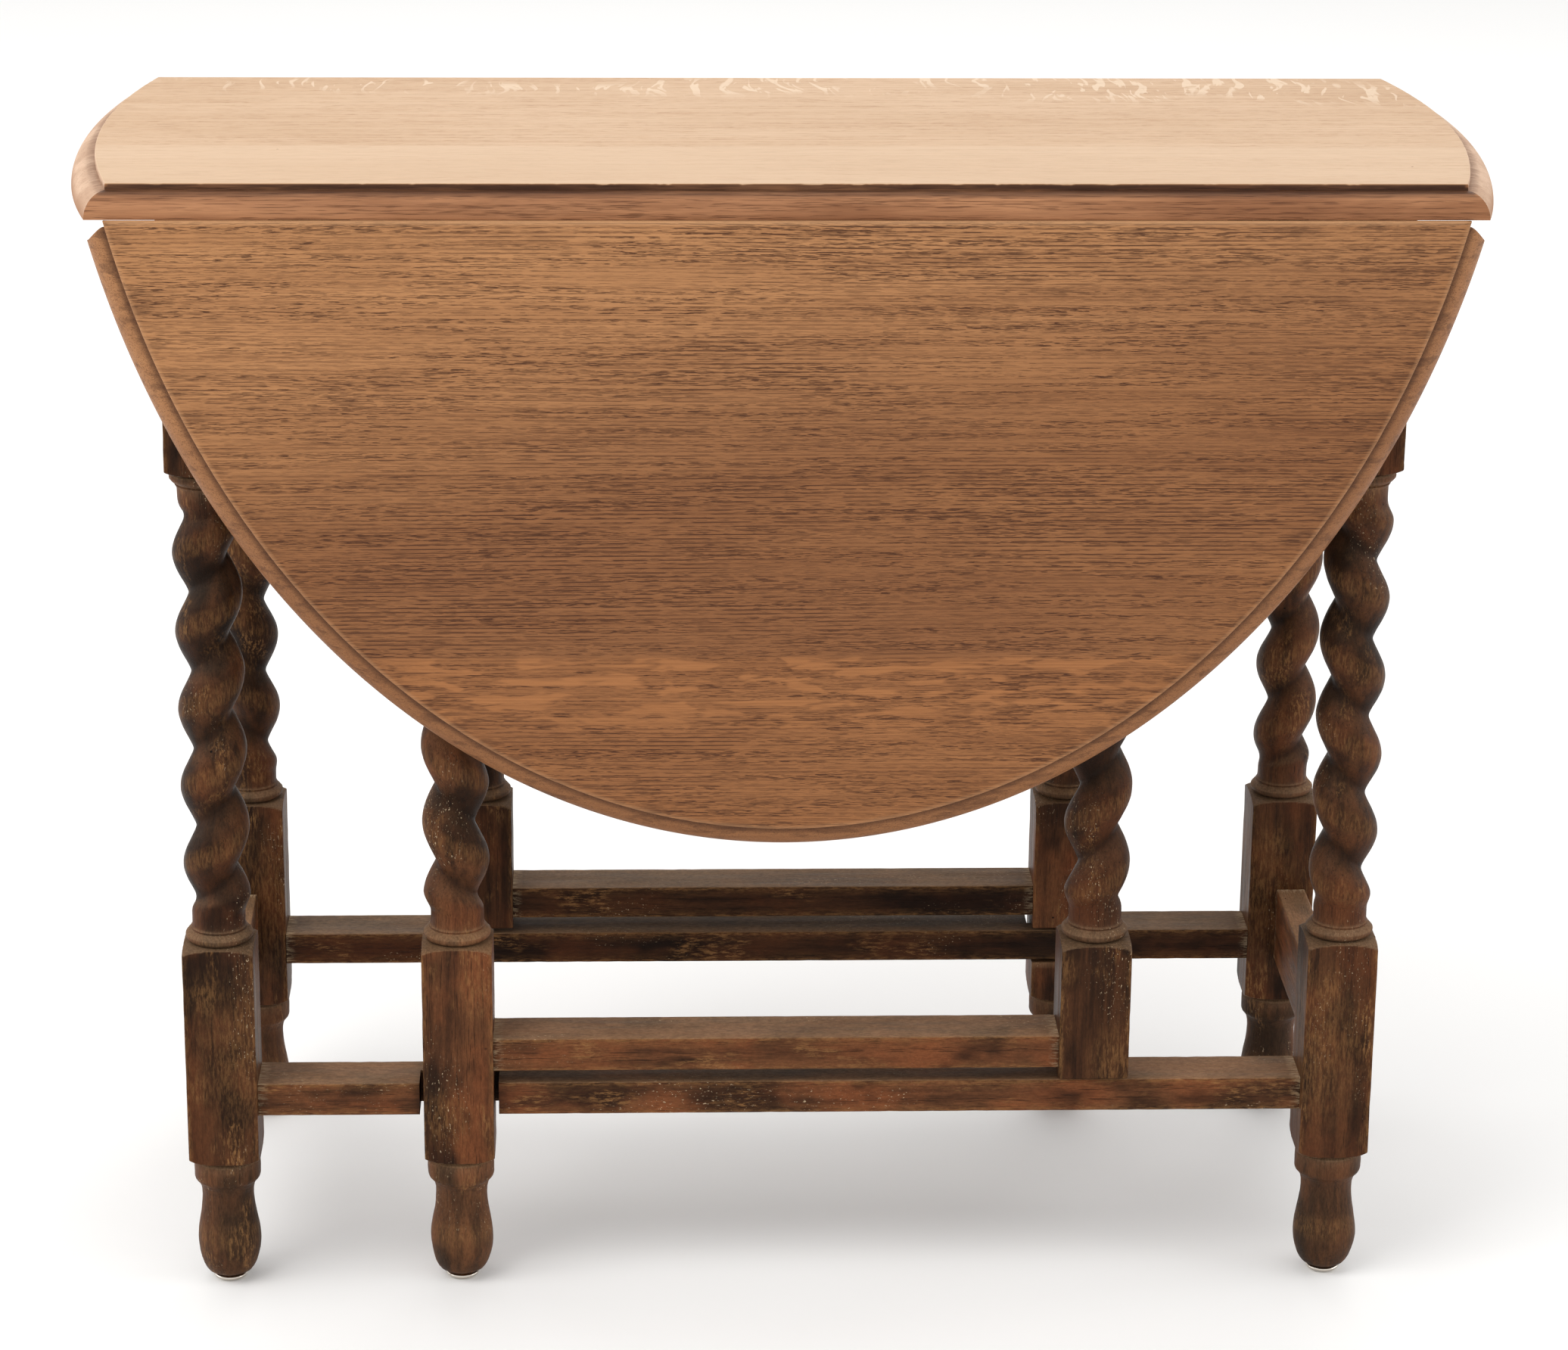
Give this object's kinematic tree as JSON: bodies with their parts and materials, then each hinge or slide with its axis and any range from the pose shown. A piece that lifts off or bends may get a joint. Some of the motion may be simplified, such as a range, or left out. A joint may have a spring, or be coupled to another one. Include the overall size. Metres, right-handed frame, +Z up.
{
  "type": "gateleg table",
  "caption": "Oval drop-leaf gateleg table with barley-twist legs, moulded top, hinged leaves and swinging gates, shown closed.",
  "frame": {"origin": "on the floor below the centre of the top", "axes": "+X along the length of the top, +Y towards the back, +Z up"},
  "size_m": [0.888, 0.368, 0.735],
  "materials": {
    "top_oak": "pale stripped oak, waxed, satin",
    "leaf_oak": "mid-brown oak, worn satin",
    "frame_oak": "dark stained oak, worn satin",
    "plain_oak": "unfinished oak",
    "steel": "dulled steel",
    "nickel": "worn nickel plate"
  },
  "bodies": {
    "frame": {"top_board": "top_oak", "leg_front_left": "frame_oak", "leg_front_right": "frame_oak", "leg_back_left": "frame_oak", "leg_back_right": "frame_oak", "apron_front": "frame_oak", "apron_back": "frame_oak", "apron_left": "frame_oak", "apron_right": "frame_oak", "stretcher_front": "frame_oak", "stretcher_back": "frame_oak", "stretcher_left": "frame_oak", "stretcher_right": "frame_oak", "fixing_blocks": "plain_oak", "fixing_screws": "steel", "hinge_plates": "steel", "hinge_pins": "steel", "hinge_plate_screws": "steel", "glides_fixed": "nickel"},
    "leaf_front": {"leaf_front": "leaf_oak", "hinge_flaps_front": "steel", "flap_screws_front": "steel", "gate_stop_front": "plain_oak", "stop_screws_front": "steel"},
    "leaf_back": {"leaf_back": "leaf_oak", "hinge_flaps_back": "steel", "flap_screws_back": "steel", "gate_stop_back": "plain_oak", "stop_screws_back": "steel"},
    "gate_front": {"gate_leg_front": "frame_oak", "gate_post_front": "frame_oak", "gate_top_rail_front": "frame_oak", "gate_low_rail_front": "frame_oak", "pivot_dowels_front": "plain_oak", "gate_glide_front": "nickel"},
    "gate_back": {"gate_leg_back": "frame_oak", "gate_post_back": "frame_oak", "gate_top_rail_back": "frame_oak", "gate_low_rail_back": "frame_oak", "pivot_dowels_back": "plain_oak", "gate_glide_back": "nickel"}
  },
  "joints": [
    {"name": "leaf_front_lift", "type": "hinge", "parent": "frame", "child": "leaf_front", "pos_m": [0, -0.165, 0.716], "axis": [-1, 0, 0], "range_deg": [0, 90]},
    {"name": "leaf_back_lift", "type": "hinge", "parent": "frame", "child": "leaf_back", "pos_m": [0, 0.165, 0.716], "axis": [1, 0, 0], "range_deg": [0, 90]},
    {"name": "gate_front_swing", "type": "hinge", "parent": "frame", "child": "gate_front", "pos_m": [0.201, -0.1335, 0], "axis": [0, 0, 1], "range_deg": [0, 1.1]},
    {"name": "gate_back_swing", "type": "hinge", "parent": "frame", "child": "gate_back", "pos_m": [-0.201, 0.1335, 0], "axis": [0, 0, 1], "range_deg": [0, 1.1]}
  ]
}
